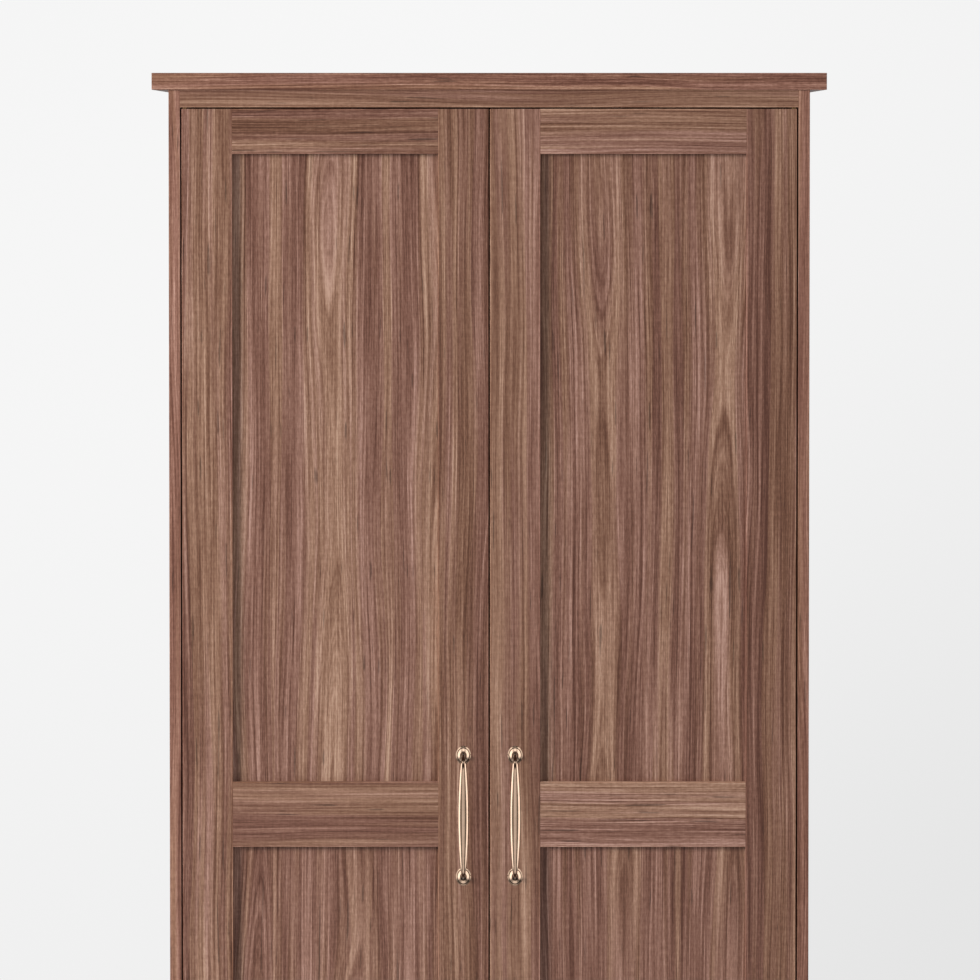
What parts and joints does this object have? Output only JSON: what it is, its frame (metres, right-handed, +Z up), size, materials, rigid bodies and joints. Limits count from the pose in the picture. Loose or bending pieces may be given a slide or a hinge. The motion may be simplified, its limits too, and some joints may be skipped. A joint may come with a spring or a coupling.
{
  "type": "armoire",
  "caption": "Tall walnut armoire with inset frame-and-panel doors, bow pulls, a hanging rail and shelves inside.",
  "frame": {"origin": "on the floor, under the middle of the whole object's box", "axes": "+Z up, the doors face -Y, +X to the right as seen from the front"},
  "size_m": [0.884, 0.592, 2.02],
  "materials": {
    "walnut": "satin",
    "walnut_inside": "satin",
    "beech": "matte",
    "pull_metal": "polished",
    "brass": "satin",
    "steel": "satin",
    "zinc": "matte",
    "rail_bronze": "satin",
    "black_plastic": "matte"
  },
  "bodies": {
    "carcass": {"top_board": "walnut", "left_side_panel": "walnut", "right_side_panel": "walnut", "front_top_rail": "walnut", "rear_top_rail": "walnut_inside", "back_rail": "walnut_inside", "floor_board": "walnut", "plinth_front": "walnut", "plinth_rear": "walnut_inside", "corner_blocks": "beech", "upper_back_panel": "walnut_inside", "lower_back_panel": "walnut_inside", "hat_shelf": "walnut_inside", "adjustable_shelf": "walnut_inside", "shelf_pins": "steel", "hanging_rail": "rail_bronze", "rail_sockets": "rail_bronze", "rail_socket_screws": "steel", "cam_bolts": "steel", "cam_locks": "zinc", "dowels": "beech", "back_panel_screws": "steel", "top_board_screws": "steel", "top_brackets": "steel", "bracket_screws": "steel", "levelling_feet": "black_plastic", "foot_sockets": "steel", "frame_pivots": "brass", "pivot_washers": "brass", "pivot_screws": "brass", "catches": "black_plastic", "catch_magnets": "steel", "catch_screws": "steel"},
    "left_door": {"left_hinge_stile": "walnut", "left_meeting_stile": "walnut", "left_door_top_rail": "walnut", "left_door_mid_rail": "walnut", "left_door_bottom_rail": "walnut", "left_upper_panel": "walnut", "left_lower_panel": "walnut", "left_pull": "pull_metal", "left_pull_rosettes": "pull_metal", "left_pull_screws": "steel", "left_door_pivots": "brass", "left_strike_plates": "steel", "left_door_screws": "brass"},
    "right_door": {"right_hinge_stile": "walnut", "right_meeting_stile": "walnut", "right_door_top_rail": "walnut", "right_door_mid_rail": "walnut", "right_door_bottom_rail": "walnut", "right_upper_panel": "walnut", "right_lower_panel": "walnut", "right_pull": "pull_metal", "right_pull_rosettes": "pull_metal", "right_pull_screws": "steel", "right_door_pivots": "brass", "right_strike_plates": "steel", "right_door_screws": "brass"}
  },
  "joints": [
    {"name": "left_door_swing", "type": "hinge", "parent": "carcass", "child": "left_door", "pos_m": [-0.399, -0.26, 1], "axis": [0, 0, -1], "range_deg": [0, 105]},
    {"name": "right_door_swing", "type": "hinge", "parent": "carcass", "child": "right_door", "pos_m": [0.399, -0.26, 1], "axis": [0, 0, 1], "range_deg": [0, 105]}
  ]
}
